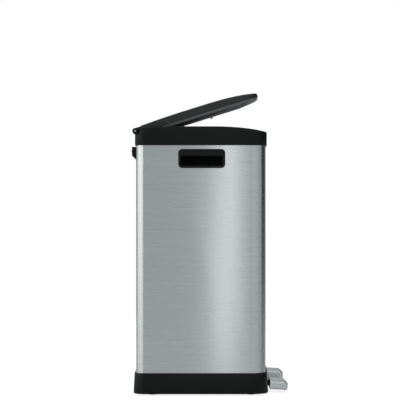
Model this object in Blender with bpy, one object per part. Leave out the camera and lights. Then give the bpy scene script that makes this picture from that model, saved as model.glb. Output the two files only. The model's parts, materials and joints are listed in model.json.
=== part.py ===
# Two-compartment pedal trash can: steel wrap, plastic base and rim, two hinged lids,
# each opened by its own pedal through a lever, a push rod and a crank.
# Metres, +Z up, front towards -Y, origin on the floor under the middle of the body.

import math

import bmesh
import bpy
from mathutils import Matrix

# ---- driving dimensions ----
body_width = 0.590
body_depth = 0.3236
body_top = 0.663
front_radius = 0.038
back_radius = 0.022
front_bow = 0.005
steel_wall = 0.0006
gap = 0.0003

base_height = 0.056
base_wall = 0.0025
base_floor = 0.003
base_flare = 0.0035
base_lip = 0.0008
base_overlap = 0.028
foot_radius = 0.009
foot_height = 0.0042

rim_height = 0.0465
rim_proud = 0.003
rim_wall = 0.0025
rim_deck = 0.003
rim_side = 0.011
rim_front = 0.0085
rim_back = 0.0142
divider_width = 0.020
ledge_width = 0.012
ledge_depth = 0.029
collar_wall = 0.0025
collar_depth = 0.038

crown_front_drop = 0.013
crown_back_drop = 0.0025

lid_clearance = 0.0018
lid_wall = 0.0025
lid_deck = 0.003
lid_depth = 0.0197
lid_corner_radius = 0.036
lid_back_radius = 0.006
panel_margin = 0.012
panel_thickness = 0.0007
liner_depth = 0.026
liner_floor = 0.0015
buffer_radius = 0.0035
hinge_behind = 0.0022
hinge_below = 0.011
knuckle_radius = 0.0072
hinge_pin_radius = 0.002
ear_width = 0.007
rod_gap_width = 0.018

lid_travel = math.radians(90)
left_lid_at_rest = math.radians(17.4)
right_lid_at_rest = 0.0

rod_inset = 0.014
rod_thickness = 0.0025
rod_width = 0.010
link_pin_radius = 0.0025
crank_pin_radius = 0.002
crank_web = 0.0025
crank_radius = 0.0127

pivot_inset = 0.067
lever_thickness = 0.004
lever_height = 0.009
cheek_gap = 0.0008
cheek_thickness = 0.0025

pedal_width = 0.130
pedal_depth = 0.046
toe_reach = 0.0555
pedal_bottom = -0.0125
pedal_side_height = 0.0165
pedal_height = 0.0195
nose_length = 0.011
nose_drop = 0.010
pedal_bow = 0.003
pedal_pitch = math.radians(5)
pedal_skin = 0.0008
pad_below_cap = 0.0015
neck_width = 0.056
neck_low = -0.0095
neck_high = 0.0035
lever_in_pedal = 0.014
lever_eye = 0.0055
slot_width = 0.066
slot_low = -0.0135
slot_high = 0.0085

bucket_side_clearance = 0.0025
bucket_end_clearance = 0.009
bucket_wall = 0.002
bucket_flange = 0.005
bucket_depth_below = 0.048
bucket_taper = 0.009
bucket_radius = 0.030
finger_slot_length = 0.070
finger_slot_radius = 0.011
floor_plate = 0.059
floor_plate_thickness = 0.003

grip_length = 0.1156
grip_height = 0.0467
grip_below = 0.07925
grip_radius = 0.010
grip_proud = 0.0018
grip_depth = 0.022

cover_width = 0.070
cover_height = 0.0355
cover_depth = 0.0132
screw_radius = 0.003

damper_radius = 0.007
damper_offset = 0.022
damper_below = 0.260
damper_length = 0.100
piston_radius = 0.0025

# ---- values that follow ----
half_width = body_width / 2
half_depth = body_depth / 2
rim_bottom = body_top - rim_height
ledge_top = body_top - ledge_depth
collar_bottom = body_top - collar_depth
lid_skirt = body_top - lid_depth
liner_bottom = body_top - liner_depth
hinge_y = half_depth + hinge_behind
hinge_z = body_top - hinge_below
notch_floor = hinge_z - knuckle_radius - 0.0008
opening_side = half_width + rim_proud - rim_side
opening_front = -half_depth - rim_proud + rim_front
opening_back = half_depth + rim_proud - rim_back
lid_centre = (opening_side + divider_width / 2) / 2
lid_back = opening_back - lid_clearance
bucket_top = body_top - bucket_depth_below
bucket_width = opening_side - divider_width / 2 - 2 * (ledge_width + bucket_side_clearance)
bucket_length = opening_back - opening_front - 2 * (ledge_width + bucket_end_clearance)
bucket_y = (opening_back + opening_front) / 2
floor_low = foot_height + gap
floor_high = floor_low + base_floor
steel_low = base_height - base_overlap
grip_z = body_top - grip_below
damper_low = body_top - damper_below
rod_y = hinge_y - rod_inset
pivot_y = -half_depth + pivot_inset
pedal_toe = -half_depth - toe_reach
pedal_back = pedal_toe + pedal_depth
lever_front = pedal_back - lever_in_pedal
rear_arm = rod_y - pivot_y
rod_travel = 2 * crank_radius * math.sin(lid_travel / 2)
lever_swing = math.asin(rod_travel / 2 / rear_arm)
pivot_z = floor_high + 0.0005 + lever_eye + rod_travel / 2
crank_y = hinge_y - crank_radius * math.cos(lid_travel / 2)
crank_z = hinge_z - crank_radius * math.sin(lid_travel / 2)
crank_sway = crank_radius * (1 - math.cos(lid_travel / 2))
rod_side = lever_thickness / 2 + 0.0005


def material(name, colour, roughness, metallic=0.0):
    made = bpy.data.materials.new(name)
    made.use_nodes = True
    shader = made.node_tree.nodes["Principled BSDF"]
    shader.inputs["Base Color"].default_value = (*colour, 1)
    shader.inputs["Roughness"].default_value = roughness
    shader.inputs["Metallic"].default_value = metallic
    made.diffuse_color = (*colour, 1)
    return made


# ---- outlines ----
def arc(centre_a, centre_b, radius, start, end, steps):
    turns = [math.radians(start + (end - start) * i / steps) for i in range(steps + 1)]
    return [(centre_a + radius * math.cos(t), centre_b + radius * math.sin(t)) for t in turns]


def rounded_box(low, high, radii, steps=5, bow=0.0):
    """Corners run front left, front right, back right, back left; a bow pulls the front corners back."""
    (x0, y0), (x1, y1) = low, high
    ends = [(x0, y0, 1, 1, 180), (x1, y0, -1, 1, 270), (x1, y1, -1, -1, 0), (x0, y1, 1, -1, 90)]
    points = []
    for (x, y, side_x, side_y, start), radius in zip(ends, radii):
        points += arc(x + side_x * radius, y + side_y * radius, radius, start, start + 90, steps)
        if bow and start == 180:
            span = (x1 - radii[1]) - points[-1][0]
            first = points[-1][0]
            points += [(first + span * i / 8, y0) for i in range(1, 8)]
    middle = (y0 + y1) / 2
    reach = half_width + rim_proud
    return [(x, y + bow * (x / reach) ** 2 * (y < middle)) for x, y in points]


def plan(grow):
    """The body's outline seen from above, grown outwards."""
    corner = (half_width + grow, half_depth + grow)
    radii = [front_radius + grow] * 2 + [back_radius + grow] * 2
    return rounded_box((-corner[0], -corner[1]), corner, radii, 6, front_bow)


def opening(side, grow):
    """The opening for one lid; side is -1 for the left lid and 1 for the right one."""
    edges = sorted([side * (divider_width / 2 - grow), side * (opening_side + grow)])
    low = (edges[0], opening_front - grow)
    high = (edges[1], opening_back + grow)
    corner = lid_corner_radius + grow
    back_corner = max(lid_back_radius + grow, 0.002)
    return rounded_box(low, high, [corner, corner, back_corner, back_corner], 5, front_bow)


def crown(y, drop):
    """Height of the crowned top at depth y, lowered by drop."""
    front = max(0.0, (-0.020 - y) / 0.139)
    back = max(0.0, (y - 0.030) / 0.112)
    return body_top - drop - crown_front_drop * front**2.4 - crown_back_drop * back**2


def under_crown(drop):
    """Everything below the crowned top lowered by drop, across the whole width."""
    reach = half_depth + 0.02
    rows = [-reach + 2 * reach * i / 20 for i in range(21)]
    profile = [(y, crown(y, drop)) for y in rows]
    profile += [(reach, rim_bottom - 0.05), (-reach, rim_bottom - 0.05)]
    return across(profile, -half_width - 0.02, half_width + 0.02)


def capsule(y0, y1, z, radius, steps=8):
    return arc(y1, z, radius, -90, 90, steps) + arc(y0, z, radius, 90, 270, steps)


# ---- solids as bmesh ----
def loft(loops, closed=False):
    """Joins loops of equal length; the ends are capped unless the loft closes on itself."""
    bm = bmesh.new()
    rings = [[bm.verts.new(point) for point in loop] for loop in loops]
    pairs = list(zip(rings, rings[1:])) + ([(rings[-1], rings[0])] if closed else [])
    for one, two in pairs:
        count = len(one)
        for i in range(count):
            bm.faces.new((one[i], one[(i + 1) % count], two[(i + 1) % count], two[i]))
    if not closed:
        bm.faces.new(rings[0])
        bm.faces.new(rings[-1])
    bmesh.ops.recalc_face_normals(bm, faces=bm.faces)
    if bm.calc_volume(signed=True) < 0:
        bmesh.ops.reverse_faces(bm, faces=bm.faces)
    return bm


def upright(points, low, high):
    return loft([[(x, y, z) for x, y in points] for z in (low, high)])


def across(profile, x0, x1):
    return loft([[(x, y, z) for y, z in profile] for x in (x0, x1)])


def block(low, high):
    (x0, y0, z0), (x1, y1, z1) = low, high
    return across([(y0, z0), (y1, z0), (y1, z1), (y0, z1)], x0, x1)


def rod_along(axis, centre, radius, low, high, sides=16):
    """A round bar along x, y or z; centre gives the two other coordinates."""
    turns = [2 * math.pi * (i + 0.5) / sides for i in range(sides)]
    ring = [(centre[0] + radius * math.cos(t), centre[1] + radius * math.sin(t)) for t in turns]
    place = {
        "x": lambda a, b, along: (along, a, b),
        "y": lambda a, b, along: (a, along, b),
        "z": lambda a, b, along: (a, b, along),
    }[axis]
    return loft([[place(a, b, along) for a, b in ring] for along in (low, high)])


# ---- objects ----
def pivot(name, location):
    empty = bpy.data.objects.new(name, None)
    empty.empty_display_size = 0.02
    empty.location = location
    bpy.context.collection.objects.link(empty)
    return empty


def piece(name, bm, finish=None, on=None, smooth=True):
    """Makes an object; on is the pivot that it turns or slides with."""
    if on:
        bmesh.ops.transform(bm, matrix=Matrix.Translation(-on.location), verts=bm.verts)
    mesh = bpy.data.meshes.new(name)
    bm.to_mesh(mesh)
    bm.free()
    if smooth:
        mesh.shade_smooth()
        mesh.set_sharp_from_angle(angle=math.radians(35))
    made = bpy.data.objects.new(name, mesh)
    made.parent = on
    bpy.context.collection.objects.link(made)
    if finish:
        mesh.materials.append(finish)
    return made


def helper(name, bm, on=None):
    """A shape that only cuts or joins."""
    made = piece(name, bm, None, on, False)
    made.hide_render = True
    made.display_type = "WIRE"
    return made


def combine(target, other, operation):
    change = target.modifiers.new(f"{operation.lower()} {other.name}", "BOOLEAN")
    change.operation = operation
    change.solver = "EXACT"
    change.object = other


def cut(target, name, bm, on=None):
    combine(target, helper(f"{target.name} {name}", bm, on), "DIFFERENCE")


def join(target, name, bm, on=None):
    combine(target, helper(f"{target.name} {name}", bm, on), "UNION")


def keep(target, name, bm, on=None):
    combine(target, helper(f"{target.name} {name}", bm, on), "INTERSECT")


def sides():
    return (("left", -1), ("right", 1))


# ---- fixed pieces ----
def make_base(finish, foot_finish):
    flare = rim_proud + base_flare
    inside = gap + 0.0002
    rows = [
        (flare - 0.004, floor_low),
        (flare - 0.001, floor_low + 0.001),
        (flare, floor_low + 0.004),
        (rim_proud + base_lip, base_height),
        (inside, base_height),
        (inside, steel_low),
        (-base_wall, steel_low),
        (-base_wall, floor_high),
    ]
    base = piece("base", loft([[(x, y, z) for x, y in plan(grow)] for grow, z in rows]), finish)
    for name, side in sides():
        cut(base, f"{name} slot", pedal_slot(side))
    reach_x = half_width - 0.045
    reach_y = half_depth - 0.040
    spots = {
        "foot_front_left": (-reach_x, -reach_y),
        "foot_front_right": (reach_x, -reach_y),
        "foot_back_left": (-reach_x, reach_y),
        "foot_back_right": (reach_x, reach_y),
        "foot_centre": (0.0, 0.0),
    }
    for name, spot in spots.items():
        piece(name, rod_along("z", spot, foot_radius, 0.0, foot_height), foot_finish)


def pedal_slot(side):
    middle = side * lid_centre
    low = (middle - slot_width / 2, -half_depth - 0.020, pivot_z + slot_low)
    high = (middle + slot_width / 2, -half_depth + 0.010, pivot_z + slot_high)
    return block(low, high)


def grip_loop(x, inset):
    """Rounded outline of the hand grip, in the plane at x, made smaller by inset."""
    half_l, half_h = grip_length / 2 - inset, grip_height / 2 - inset
    radius = max(grip_radius - inset, 0.002)
    flat = rounded_box((-half_l, grip_z - half_h), (half_l, grip_z + half_h), [radius] * 4)
    return [(x, y, z) for y, z in flat]


def make_steel_body(finish):
    low = steel_low + gap
    high = ledge_top + 0.001
    rows = [(0.0, low), (0.0, high), (-steel_wall, high), (-steel_wall, low)]
    body = piece("steel_body", loft([[(x, y, z) for x, y in plan(g)] for g, z in rows], True), finish)
    for name, side in sides():
        cut(body, f"{name} slot", pedal_slot(side))
        window = [grip_loop(side * x, 0.0035) for x in (half_width - 0.010, half_width + 0.010)]
        cut(body, f"{name} window", loft(window))


def make_inner_floor(finish):
    sheet = upright(plan(-steel_wall - 2 * gap), floor_plate, floor_plate + floor_plate_thickness)
    plate = piece("inner_floor", sheet, finish)
    for name, side in sides():
        middle = side * lid_centre + rod_side + rod_thickness / 2
        reach = rod_width / 2 + 0.004
        low = (middle - 0.005, rod_y - reach, floor_plate - 0.002)
        high = (middle + 0.005, rod_y + reach, floor_plate + floor_plate_thickness + 0.002)
        cut(plate, f"{name} rod slot", block(low, high))


def make_top_rim(finish):
    rim = piece("top_rim", upright(plan(rim_proud), rim_bottom, body_top + 0.01), finish)
    keep(rim, "crown", under_crown(0.0))
    wide = half_width + 0.02
    back = half_depth + 0.02
    inside = upright(plan(rim_proud - rim_wall), rim_bottom - 0.01, body_top + 0.005)
    hollow = helper("top_rim hollow", inside)
    keep(hollow, "crown", under_crown(rim_deck))
    notch_start = opening_back + collar_wall
    under_notch = (-wide, opening_back - 0.0005, notch_floor - rim_deck)
    cut(hollow, "notch", block(under_notch, (wide, back, body_top + 0.01)))
    for name, side in sides():
        collar = upright(opening(side, collar_wall), collar_bottom, body_top + 0.01)
        cut(hollow, f"{name} collar", collar)
    combine(rim, hollow, "DIFFERENCE")
    cut(rim, "notch", block((-wide, notch_start, notch_floor), (wide, back, body_top + 0.02)))
    for name, side in sides():
        cut(rim, f"{name} opening", upright(opening(side, 0.0), ledge_top, body_top + 0.02))
        way_in = upright(opening(side, -ledge_width), rim_bottom, ledge_top + 0.002)
        cut(rim, f"{name} way in", way_in)
        inner, outer = ear_places(side)
        hinge_gap = block(
            (min(inner[0], outer[0]), opening_back - 0.002, notch_floor),
            (max(inner[1], outer[1]), back, body_top + 0.02),
        )
        cut(rim, f"{name} hinge gap", hinge_gap)
        middle = side * lid_centre
        half = rod_gap_width / 2
        slot_low = (middle - half, rod_y - 0.010, rim_bottom)
        cut(rim, f"{name} rod slot", block(slot_low, (middle + half, hinge_y - 0.003, body_top)))
        axis = (hinge_y, hinge_z)
        for label, (x0, x1) in (("inner", inner), ("outer", outer)):
            foot_low = (x0, hinge_y - 0.006, notch_floor - 0.0015)
            ear_foot = block(foot_low, (x1, hinge_y - 0.0005, hinge_z))
            join(rim, f"{name} {label} ear foot", ear_foot)
            join(rim, f"{name} {label} ear", rod_along("x", axis, knuckle_radius, x0, x1))
        ends = inner + outer
        hole = hinge_pin_radius + gap
        bore = rod_along("x", axis, hole, min(ends) - 0.001, max(ends) + 0.001)
        cut(rim, f"{name} bore", bore)


def ear_places(side):
    """The x ranges of a lid's two fixed hinge ears, inner one first."""
    inner = divider_width / 2 + 0.0008
    outer = opening_side - 0.0005
    ranges = [(inner, inner + ear_width), (outer - ear_width, outer)]
    return [tuple(sorted(side * x for x in pair)) for pair in ranges]


def make_grips(bezel_finish, cup_finish):
    for name, side in sides():
        wall = half_width
        rows = [
            (wall + gap, 0.0),
            (wall + grip_proud - 0.0006, 0.0),
            (wall + grip_proud, 0.0008),
            (wall + grip_proud, 0.0052),
            (wall - 0.010, 0.0065),
            (wall - 0.010, 0.0039),
            (wall + gap, 0.0039),
        ]
        bezel = loft([grip_loop(side * x, i) for x, i in rows], True)
        piece(f"grip_bezel_{name}", bezel, bezel_finish)
        back = wall - grip_depth
        cup = [
            (back + 0.0015, 0.0070),
            (wall - 0.010 - gap, 0.0065),
            (wall - 0.010 - gap, 0.0039),
            (back, 0.0045),
        ]
        piece(f"grip_cup_{name}", loft([grip_loop(side * x, i) for x, i in cup]), cup_finish)


def bucket_loop(middle, inset, z):
    half_x, half_y = bucket_width / 2 - inset, bucket_length / 2 - inset
    corner = max(bucket_radius - inset, 0.012)
    low = (middle - half_x, bucket_y - half_y)
    flat = rounded_box(low, (middle + half_x, bucket_y + half_y), [corner] * 4)
    return [(x, y, z) for x, y in flat]


def make_buckets(finish):
    low = floor_plate + floor_plate_thickness + 2 * gap
    narrow = bucket_flange + bucket_taper
    rows = [
        (narrow, low),
        (bucket_flange, bucket_top - bucket_wall),
        (0.0, bucket_top - bucket_wall),
        (0.0, bucket_top),
        (bucket_flange + bucket_wall, bucket_top),
        (narrow + bucket_wall, low + bucket_wall),
    ]
    for name, side in sides():
        middle = side * lid_centre
        bucket = piece(f"bucket_{name}", loft([bucket_loop(middle, *row) for row in rows]), finish)
        reach = finger_slot_length / 2
        slot = capsule(bucket_y - reach, bucket_y + reach, bucket_top - 0.030, finger_slot_radius)
        beyond = bucket_width / 2 + 0.01
        cut(bucket, "finger slots", across(slot, middle - beyond, middle + beyond))


def make_rear_covers(finish, screw_finish):
    top = rim_bottom - 0.001
    cover_bottom = top - cover_height
    wall = half_depth + gap
    face = wall + cover_depth
    profile = [(wall, cover_bottom), (face, cover_bottom + cover_depth), (face, top - 0.001)]
    profile += [(face - 0.001, top), (wall, top)]
    for name, side in sides():
        middle = side * lid_centre
        half = cover_width / 2
        piece(f"rear_cover_{name}", across(profile, middle - half, middle + half), finish)
        for label, offset in (("a", -1), ("b", 1)):
            spot = (middle + offset * (half - 0.009), (cover_bottom + cover_depth + top) / 2)
            head = rod_along("y", spot, screw_radius, face + gap, face + gap + 0.0012, 12)
            piece(f"cover_screw_{name}_{label}", head, screw_finish)


def make_dampers(finish, bracket_finish):
    inner_wall = half_depth - steel_wall
    low, high = damper_low, damper_low + damper_length
    for name, side in sides():
        x = side * lid_centre + damper_offset
        plate_low = (x - 0.012, inner_wall - 0.0028, low - 0.010)
        plate = block(plate_low, (x + 0.012, inner_wall - gap, high + 0.010))
        bracket = piece(f"damper_bracket_{name}", plate, bracket_finish)
        for label, z in (("low", low + 0.008), ("high", high - 0.011)):
            shelf = block((x - 0.010, rod_y - 0.009, z), (x + 0.010, inner_wall - 0.001, z + 0.003))
            join(bracket, f"{label} shelf", shelf)
        cut(bracket, "hole", rod_along("z", (x, rod_y), damper_radius + gap, low, high))
        tube = rod_along("z", (x, rod_y), damper_radius, low, high)
        cylinder = piece(f"damper_cylinder_{name}", tube, finish)
        bore = rod_along("z", (x, rod_y), piston_radius + 2 * gap, low + 0.004, high + 0.002)
        cut(cylinder, "bore", bore)


def make_pivots(bracket_finish, pin_finish):
    floor = floor_high + gap
    cheek = lever_thickness / 2 + cheek_gap
    axis = (pivot_y, pivot_z)
    for name, side in sides():
        middle = side * lid_centre
        foot_low = (middle - 0.016, pivot_y - 0.014, floor)
        foot = block(foot_low, (middle + 0.016, pivot_y + 0.014, floor + 0.002))
        bracket = piece(f"pivot_bracket_{name}", foot, bracket_finish)
        for label, way in (("left", -1), ("right", 1)):
            x0, x1 = sorted([middle + way * cheek, middle + way * (cheek + cheek_thickness)])
            leg = block((x0, pivot_y - 0.008, floor + 0.001), (x1, pivot_y + 0.008, pivot_z))
            join(bracket, f"{label} leg", leg)
            join(bracket, f"{label} top", rod_along("x", axis, 0.0081, x0, x1))
        bore = rod_along("x", axis, link_pin_radius + gap, middle - 0.02, middle + 0.02)
        cut(bracket, "bore", bore)
        reach = cheek + 0.004
        pin = rod_along("x", axis, link_pin_radius, middle - reach, middle + reach)
        piece(f"pivot_pin_{name}", pin, pin_finish)


# ---- lids ----
def lid_plan(side, inset):
    return opening(side, -lid_clearance - inset)


def make_lid(name, side, on, finishes):
    make_lid_frame(name, side, on, finishes["plastic"])
    sheet = upright(lid_plan(side, panel_margin + gap), lid_skirt, body_top + 0.02)
    panel = piece(f"lid_panel_{name}", sheet, finishes["steel"], on)
    keep(panel, "crown", under_crown(0.0), on)
    cut(panel, "underside", under_crown(panel_thickness), on)
    make_liner(name, side, on, finishes["liner"])
    inset = ledge_width - buffer_radius
    for label, x in (("outer", opening_side - inset), ("inner", divider_width / 2 + inset)):
        spot = (side * x, -0.030)
        stud = rod_along("z", spot, buffer_radius, ledge_top + gap, liner_bottom - gap, 12)
        piece(f"lid_buffer_{name}_{label}", stud, finishes["rubber"], on)
    make_crank(name, side * lid_centre, on, finishes["metal"])


def make_lid_frame(name, side, on, finish):
    middle = side * lid_centre
    above = body_top + 0.01
    frame = piece(f"lid_frame_{name}", upright(lid_plan(side, 0.0), lid_skirt, above), finish, on)
    keep(frame, "crown", under_crown(0.0), on)
    inside = upright(lid_plan(side, lid_wall), lid_skirt - 0.01, above)
    hollow = helper(f"lid_frame_{name} hollow", inside, on)
    keep(hollow, "crown", under_crown(lid_deck), on)
    combine(frame, hollow, "DIFFERENCE")
    seat = upright(lid_plan(side, panel_margin), lid_skirt, above + 0.01)
    recess = helper(f"lid_frame_{name} recess", seat, on)
    cut(recess, "floor", under_crown(panel_thickness + gap), on)
    combine(frame, recess, "DIFFERENCE")

    ears = ear_places(side)
    low_x = min(ears[0][1], ears[1][1]) + 0.0005
    high_x = max(ears[0][0], ears[1][0]) - 0.0005
    leaf = [
        (lid_back - 0.002, hinge_z + 0.0015),
        (hinge_y, hinge_z + 0.0015),
        (hinge_y, hinge_z + knuckle_radius - 0.0002),
        (lid_back - 0.002, crown(lid_back, 0.0008)),
    ]
    axis = (hinge_y, hinge_z)
    join(frame, "leaf", across(leaf, low_x, high_x), on)
    join(frame, "knuckle", rod_along("x", axis, knuckle_radius, low_x, high_x), on)
    hole = hinge_pin_radius + gap
    cut(frame, "bore", rod_along("x", axis, hole, low_x - 0.01, high_x + 0.01), on)
    half, low = rod_gap_width / 2, lid_skirt - 0.005
    rod_gap = block((middle - half, lid_back + 0.001, low), (middle + half, hinge_y + 0.01, body_top))
    cut(frame, "rod gap", rod_gap, on)
    crank_gap_high = (middle + half, lid_back + 0.002, lid_skirt + 0.0062)
    cut(frame, "crank gap", block((middle - half, lid_back - 0.006, low), crank_gap_high), on)


def make_liner(name, side, on, finish):
    top = lid_skirt - gap
    wide = half_width + 0.02
    front = -half_depth - 0.01
    rear = lid_back - 0.0085
    liner = piece(f"lid_liner_{name}", upright(lid_plan(side, 0.002), liner_bottom, top), finish, on)
    slope = [
        (-half_depth + 0.058, liner_bottom - 0.002),
        (rear, liner_bottom - 0.002),
        (rear, top + 0.002),
        (front, top + 0.002),
        (front, top - 0.0005),
    ]
    keep(liner, "slope", across(slope, -wide, wide), on)
    inside = upright(lid_plan(side, 0.0045), liner_bottom + liner_floor, top + 0.01)
    hollow = helper(f"lid_liner_{name} hollow", inside, on)
    band_low = (-wide, -half_depth + 0.064, liner_bottom)
    keep(hollow, "band", block(band_low, (wide, rear - 0.0025, top + 0.02)), on)
    combine(liner, hollow, "DIFFERENCE")


def make_crank(name, middle, on, finish):
    web_high = middle + rod_side - 0.0005
    web_low = web_high - crank_web
    under = crown(opening_back, lid_deck + gap) - 0.0004
    inside = lid_back - lid_wall
    arm = [
        (crank_y - 0.0020, crank_z - 0.0034),
        (crank_y + 0.0032, crank_z + 0.0020),
        (inside - 0.0008, lid_skirt + 0.0055),
        (inside - 0.0022, under),
        (inside - 0.0220, under),
        (inside - 0.0220, under - 0.0035),
        (inside - 0.0060, lid_skirt + 0.0010),
    ]
    crank = piece(f"lid_crank_{name}", across(arm, web_low, web_high), finish, on)
    boss = rod_along("x", (crank_y, crank_z), 0.0042, web_low + 0.0001, web_high - 0.0001)
    join(crank, "boss", boss, on)
    flange_low = (web_low + 0.0005, inside - 0.0215, under - 0.0022)
    flange = block(flange_low, (web_high + 0.010, inside - 0.0030, under - 0.0001))
    join(crank, "flange", flange, on)
    pin_end = web_high + rod_thickness + 0.0018
    pin = rod_along("x", (crank_y, crank_z), crank_pin_radius, web_low + 0.001, pin_end)
    join(crank, "pin", pin, on)


def make_hinge_pin(name, side, finish):
    ears = ear_places(side)
    low = min(ears[0][0], ears[1][0]) + 0.0003
    high = max(ears[0][1], ears[1][1]) - 0.0003
    pin = rod_along("x", (hinge_y, hinge_z), hinge_pin_radius, low, high, 12)
    piece(f"hinge_pin_{name}", pin, finish)


# ---- push rods, modelled with the lid closed ----
def make_rod(name, side, on, finishes):
    x0 = side * lid_centre + rod_side
    x1 = x0 + rod_thickness
    bottom = pivot_z - rod_travel / 2
    top = crank_z
    eye_half = crank_sway / 2 + crank_pin_radius + 0.0004
    lag = 0.03 * crank_radius
    slot_half = crank_pin_radius + lag + gap
    centre = crank_y - crank_sway / 2
    strip = block((x0, rod_y - rod_width / 2, bottom), (x1, rod_y + rod_width / 2, top))
    rod = piece(f"push_rod_{name}", strip, finishes["metal"], on)
    reach = eye_half + 0.002
    end = slot_half + 0.002
    eye = capsule(centre - reach + end, centre + reach - end, top, end)
    join(rod, "top eye", across(eye, x0 + 0.0001, x1 - 0.0001), on)
    lower_eye = rod_along("x", (rod_y, bottom), lever_eye, x0 + 0.0001, x1 - 0.0001)
    join(rod, "bottom eye", lower_eye, on)
    slot = capsule(centre - eye_half + slot_half, centre + eye_half - slot_half, top, slot_half)
    cut(rod, "top slot", across(slot, x0 - 0.002, x1 + 0.002), on)
    hole = rod_along("x", (rod_y, bottom), link_pin_radius + 2 * gap, x0 - 0.002, x1 + 0.002)
    cut(rod, "bottom hole", hole, on)

    x = side * lid_centre + damper_offset
    arm_z = damper_low + damper_length + 0.055
    stem = rod_along("z", (x, rod_y), piston_radius, damper_low + 0.010, arm_z + 0.001)
    piston = piece(f"damper_piston_{name}", stem, finishes["bright"], on)
    arm = block((x1 + gap, rod_y - 0.004, arm_z), (x + 0.005, rod_y + 0.004, arm_z + 0.008))
    join(piston, "arm", arm, on)


# ---- pedals, modelled level ----
def pedal_outline(inset, back):
    """Plan of the pedal with its bowed front edge."""
    half = pedal_width / 2 - inset
    shares = [i / 8 for i in range(-8, 9)]
    front = [(half * i, pedal_toe + inset + pedal_bow * i**2) for i in shares]
    return front + [(half, back), (-half, back)]


def pedal_section(inset, drop):
    """Front view of the pedal: flat bottom, low sides and a crowned top."""
    half = pedal_width / 2 - inset
    rise = pedal_height - pedal_side_height
    shoulder = pedal_bottom + pedal_side_height - inset
    top = [(half * i / 6, shoulder + rise * (1 - (i / 6) ** 2)) for i in range(6, -7, -1)]
    return [(-half, pedal_bottom - drop), (half, pedal_bottom - drop)] + top


def pedal_side_view(inset, back):
    """Side view of the pedal, whose top slopes down to the toe."""
    top = pedal_bottom + pedal_height - inset
    low = pedal_bottom - 0.03
    return [
        (pedal_toe - 0.01, low),
        (back + 0.01, low),
        (back + 0.01, top + 0.001),
        (pedal_toe + nose_length, top + 0.001),
        (pedal_toe - 0.01, top + 0.001 - nose_drop * (nose_length + 0.01) / nose_length),
    ]


def pedal_solid(name, inset, drop, back, finish, on, middle):
    """The pedal's shape made smaller by inset, with its bottom lowered by drop."""
    outline = [(x + middle, y) for x, y in pedal_outline(inset, back)]
    solid = piece(name, upright(outline, pivot_z - 0.05, pivot_z + 0.05), finish, on)
    ends = (pedal_toe - 0.02, back + 0.02)
    rows = [[(x + middle, y, z + pivot_z) for x, z in pedal_section(inset, drop)] for y in ends]
    side_view = [(y, z + pivot_z) for y, z in pedal_side_view(inset, back)]
    turn = Matrix.Translation((0, pedal_back, pivot_z))
    pitch = turn @ Matrix.Rotation(pedal_pitch, 4, "X") @ turn.inverted()
    nose = across(side_view, middle - pedal_width, middle + pedal_width)
    for label, shape in (("section", loft(rows)), ("nose", nose)):
        bmesh.ops.transform(shape, matrix=pitch, verts=shape.verts)
        keep(solid, label, shape, on)
    return solid


def make_pedal(name, side, on, finishes):
    middle = side * lid_centre
    bar = capsule(lever_front + lever_height / 2, rod_y, pivot_z, lever_height / 2)
    half = lever_thickness / 2
    lever = piece(f"pedal_lever_{name}", across(bar, middle - half, middle + half), finishes["metal"], on)
    for label, y in (("pivot", pivot_y), ("link", rod_y)):
        hole = rod_along("x", (y, pivot_z), link_pin_radius + gap, middle - 0.01, middle + 0.01)
        cut(lever, f"{label} hole", hole, on)
    cover = pedal_solid(f"pedal_cover_{name}", 0.0, 0.0, pedal_back, finishes["steel"], on, middle)
    inner_name = f"pedal_cover_{name} inside"
    inner = pedal_solid(inner_name, pedal_skin, 0.02, pedal_back + 0.01, None, on, middle)
    inner.hide_render = True
    inner.display_type = "WIRE"
    combine(cover, inner, "DIFFERENCE")
    inset = pedal_skin + gap
    back = pedal_back + 0.0005
    core = pedal_solid(f"pedal_core_{name}", inset, pad_below_cap, back, finishes["plastic"], on, middle)
    low = (middle - neck_width / 2, pedal_back - 0.010, pivot_z + neck_low)
    high = (middle + neck_width / 2, pedal_back + 0.022, pivot_z + neck_high)
    join(core, "neck", block(low, high), on)
    groove_low = (middle - half - gap, lever_front - 2 * gap, pivot_z - 0.03)
    groove_high = (middle + half + gap, pedal_back + 0.03, pivot_z + lever_height / 2 + gap)
    cut(core, "groove", block(groove_low, groove_high), on)
    ends = (middle - half - 0.0025, middle + half + rod_thickness + 0.0025)
    pin = rod_along("x", (rod_y, pivot_z), link_pin_radius, *ends)
    piece(f"link_pin_{name}", pin, finishes["bright"], on)


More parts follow.
